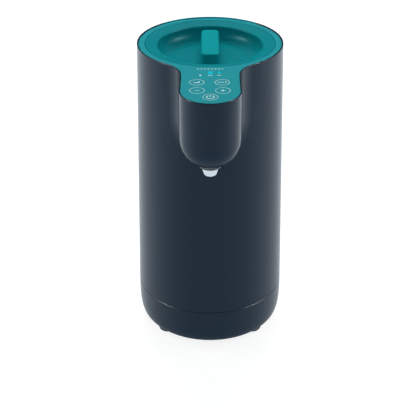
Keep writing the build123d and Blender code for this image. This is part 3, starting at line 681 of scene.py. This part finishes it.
keyRings, markRow, turned = keyRingTree(), markRowTree(), turnedTree()
print("stage: geometry trees made")


# prints on the touch panel, millimetres from the body's centre line
panelPrint = {
    "sunk": 0.02,  # the ink reaches this far into the panel
    "thickness": 0.05,
    # cup, warm, less, more and power
    "keys": [(-10.9, -91.2), (9.6, -91.2), (-10.6, -107.8), (10.0, -107.8), (0.0, -120.6)],
    "ringRadius": 5.9,
    "ringLine": 0.36,
    "thinLine": 0.6,
    "waveLine": 0.5,
    "powerLine": 0.75,
    "boldLine": 0.8,
    "scaleBars": 8,
    "scaleStep": 2.9,
    "scaleBar": (1.5, 2.2),
    "scaleY": -63.0,
}


def ribbon(mesh, points, width, low, high):
    # a flat strip of even width along a line of (x, y) points, closed at both ends
    last = len(points) - 1
    sides = []
    for i, (x, y) in enumerate(points):
        before, after = points[max(i - 1, 0)], points[min(i + 1, last)]
        along = Vector((after[0] - before[0], after[1] - before[1])).normalized()
        over = Vector((-along.y, along.x)) * width / 2
        corners = [(x + over.x, y + over.y), (x - over.x, y - over.y)]
        sides.append([mesh.verts.new(place(cx, cy, z)) for cx, cy in corners for z in (low, high)])
    for a, b in zip(sides, sides[1:]):
        for first, second in ((0, 1), (1, 3), (3, 2), (2, 0)):
            mesh.faces.new((a[first], a[second], b[second], b[first]))
    for end in (sides[0], sides[-1]):
        mesh.faces.new((end[0], end[2], end[3], end[1]))


def arc(x, y, radius, start, end, steps=24):
    turns = [radians(start + (end - start) * i / steps) for i in range(steps + 1)]
    return [(x + radius * cos(t), y + radius * sin(t)) for t in turns]


def solidPiece(name, mesh, body, slot):
    bmesh.ops.recalc_face_normals(mesh, faces=mesh.faces)
    data = bpy.data.meshes.new(name)
    mesh.to_mesh(data)
    mesh.free()
    data.materials.append(finishes[slot])
    return keep(name, data, body)


def makePanelPrints():
    look = panelPrint
    low = panelZ / mm - look["sunk"]
    high = panelZ / mm + look["thickness"]
    middle = (low + high) / 2
    rings = {
        "Radius": look["ringRadius"] * mm,
        "Line Width": look["ringLine"] * mm,
        "Line Height": (high - low) * mm,
    }
    places = [place(x, y, middle) for x, y in look["keys"]]
    grow("keyRings", keyRings, places, rings, "housing", "print_white")
    wide, deep = look["scaleBar"]
    row = {
        "Count": look["scaleBars"],
        "Step": (look["scaleStep"] * mm, 0, 0),
        "Bar": (wide * mm, deep * mm, (high - low) * mm),
    }
    first = -(look["scaleBars"] - 1) * look["scaleStep"] / 2
    grow("panelScale", markRow, [place(first, look["scaleY"], middle)], row, "housing", "print_soft")
    makeKeyIcons(low, high)


def makeKeyIcons(low, high):
    icons = bmesh.new()
    thin, wave, power, bold = (panelPrint[name] for name in ("thinLine", "waveLine", "powerLine", "boldLine"))

    def stroke(points, width, lift=0.0):
        ribbon(icons, points, width, low + lift, high + lift)

    (cupX, cupY), (warmX, warmY), (lessX, lessY), (moreX, moreY), (powerX, powerY) = panelPrint["keys"]
    stroke(arc(cupX, cupY + 1.0, 2.2, 190, 350), bold)
    stroke(arc(cupX + 0.5, cupY + 1.5, 1.4, 250, 380), bold)
    for x in (-3.0, -1.0, 1.0, 3.0):
        rising = [(warmX + x + 0.35 * sin(t * pi / 4), warmY - 1.2 + 0.3 * t) for t in range(9)]
        stroke(rising, wave)
    stroke([(lessX - 1.8, lessY), (lessX + 1.8, lessY)], thin)
    stroke([(moreX - 1.9, moreY), (moreX + 1.9, moreY)], thin)
    stroke([(moreX, moreY - 2.1), (moreX, moreY + 2.1)], bold, 0.005)  # a hair above the stroke it crosses
    stroke(arc(powerX, powerY, 3.0, 120, 420), power)
    stroke([(powerX, powerY + 0.6), (powerX, powerY + 4.0)], power)
    # small marks beside the three indicator windows
    stroke([(-8.2, -75.2), (-8.2, -77.6)], 1.5)
    stroke([(-1.8, -76.9), (1.9, -76.9)], bold)
    stroke(arc(7.3, -77.4, 1.3, 20, 160, 10), bold)
    solidPiece("keyIcons", icons, "housing", "print_white")


makePanelPrints()
print("stage: panel prints made")


# feet, turned outlines with one groove for the grip, millimetres
feet = {
    "radius": 9.3,
    "foot": 8.1,  # radius of the flat that stands on the table
    "hollow": 5.2,
    "hollowDepth": 0.5,
    "groove": 0.35,
    "grooveFrom": 2.1,
    "grooveTo": 2.9,
}


def makeFeet():
    look = feet
    low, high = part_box("base_feet")
    top = high.z / mm
    wide = look["radius"]
    side = wide - 0.25
    outline = [
        (0, look["hollowDepth"]),
        (look["hollow"], look["hollowDepth"]),
        (look["hollow"] + 0.4, 0.0),
        (look["foot"], 0.0),
        (look["foot"] + 0.45, 0.25),
        (side - 0.1, 0.8),
        (side, look["grooveFrom"] - 0.2),
        (side - look["groove"], look["grooveFrom"]),
        (side - look["groove"], look["grooveTo"]),
        (side + 0.1, look["grooveTo"] + 0.2),
        (side + 0.2, 4.9),
        (wide, top),
        (0, top),
    ]
    values = {
        "Segments": 72,
        "Outline Points": len(outline),
        "Centre": (0, bodyY, 0),
        "Across": high.x - low.x - 2 * wide * mm,
        "Along": high.y - low.y - 2 * wide * mm,
        "Pieces": 2,
    }
    points = [(x * mm, 0, z * mm) for x, z in outline]
    piece = grow("gripFeet", turned, points, values, "housing", "black_rubber")
    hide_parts("base_feet")


makeFeet()
print("stage: feet made")


# the lid's cover, one outline turned about the body's centre line, millimetres
lidCover = {
    "edge": 2.2,  # thickness at the outside
    "bowl": 46.4,  # radius of the bowl's wall
    "drop": 1.9,  # from the outside down to the bowl's lip
    "lip": 1.6,
    "depth": 14.4,
    "hollow": 10.8,  # round between the wall and the floor
    "skirtOut": 53.2,
    "skirtIn": 51.3,
    "skirtLow": 270.5,
}


def quarter(x, z, radius, step, acrossSign, upSign, fromSide):
    # a quarter turn about (x, z), from its side or from its top or bottom
    turns = [radians(a) for a in range(0, 91, step)]
    points = [(x + acrossSign * radius * cos(t), z + upSign * radius * sin(t)) for t in turns]
    return points if fromSide else points[::-1]


def makeLidCover():
    look = lidCover
    low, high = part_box("lid_cover")
    top = panelZ / mm
    wide = (high.x - low.x) / 2 / mm
    floor = top - look["depth"]
    turnX, turnZ = look["bowl"] - look["hollow"], floor + look["hollow"]
    lipX, lipZ = look["bowl"] + look["lip"], top - look["drop"] - look["lip"]
    slope = look["drop"] / (wide - lipX)
    outline = [
        (0, floor),
        (turnX * 0.5, floor),
        *quarter(turnX, turnZ, look["hollow"], 5, 1, -1, False),
        *quarter(lipX, lipZ, look["lip"], 10, -1, 1, True),
        (wide - 0.6, top - 0.6 * slope),  # the rounded outer edge
        (wide - 0.3, top - 0.14),
        (wide - 0.1, top - 0.3),
        (wide, top - 0.6),
        (wide, top - look["edge"]),
        (look["skirtOut"], top - look["edge"]),
        (look["skirtOut"], look["skirtLow"]),
        (look["skirtIn"], look["skirtLow"]),
        (look["skirtIn"], turnZ),
        *quarter(turnX, turnZ, look["hollow"] + look["edge"], 5, 1, -1, True),
        (0, floor - look["edge"]),
    ]
    values = {"Segments": 192, "Outline Points": len(outline), "Centre": (0, bodyY, 0), "Pieces": 1}
    points = [(x * mm, 0, z * mm) for x, z in outline]
    piece = grow("turnedLid", turned, points, values, "lid", "teal_lid")
    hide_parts("lid_cover")


makeLidCover()
print("stage: lid cover made")


# water level marks printed on the tank's flat front, millimetres
levelMarks = {
    "across": 8.0,  # where the marks begin, to the side of the middle
    "lowest": 150.0,
    "step": 10.0,
    "count": 11,
    "short": (5.0, 0.6),  # width and height of a mark
    "long": (9.0, 0.9),  # every fifth
    "thickness": 0.08,
    "proud": 0.03,  # how far the middle of the print stands in front of the tank
}


def makeLevelMarks():
    look = levelMarks
    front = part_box("water_tank")[0].y - look["proud"] * mm
    for name, count, step, (wide, tall) in (
        ("levelMarks", look["count"], look["step"], look["short"]),
        ("levelMarksLong", (look["count"] + 4) // 5, look["step"] * 5, look["long"]),
    ):
        start = Vector(((look["across"] + wide / 2) * mm, front, look["lowest"] * mm))
        bar = (wide * mm, look["thickness"] * mm, tall * mm)
        values = {"Count": count, "Step": (0, 0, step * mm), "Bar": bar}
        grow(name, markRow, [start], values, "tank", "print_white")


makeLevelMarks()
print("stage: level marks made")
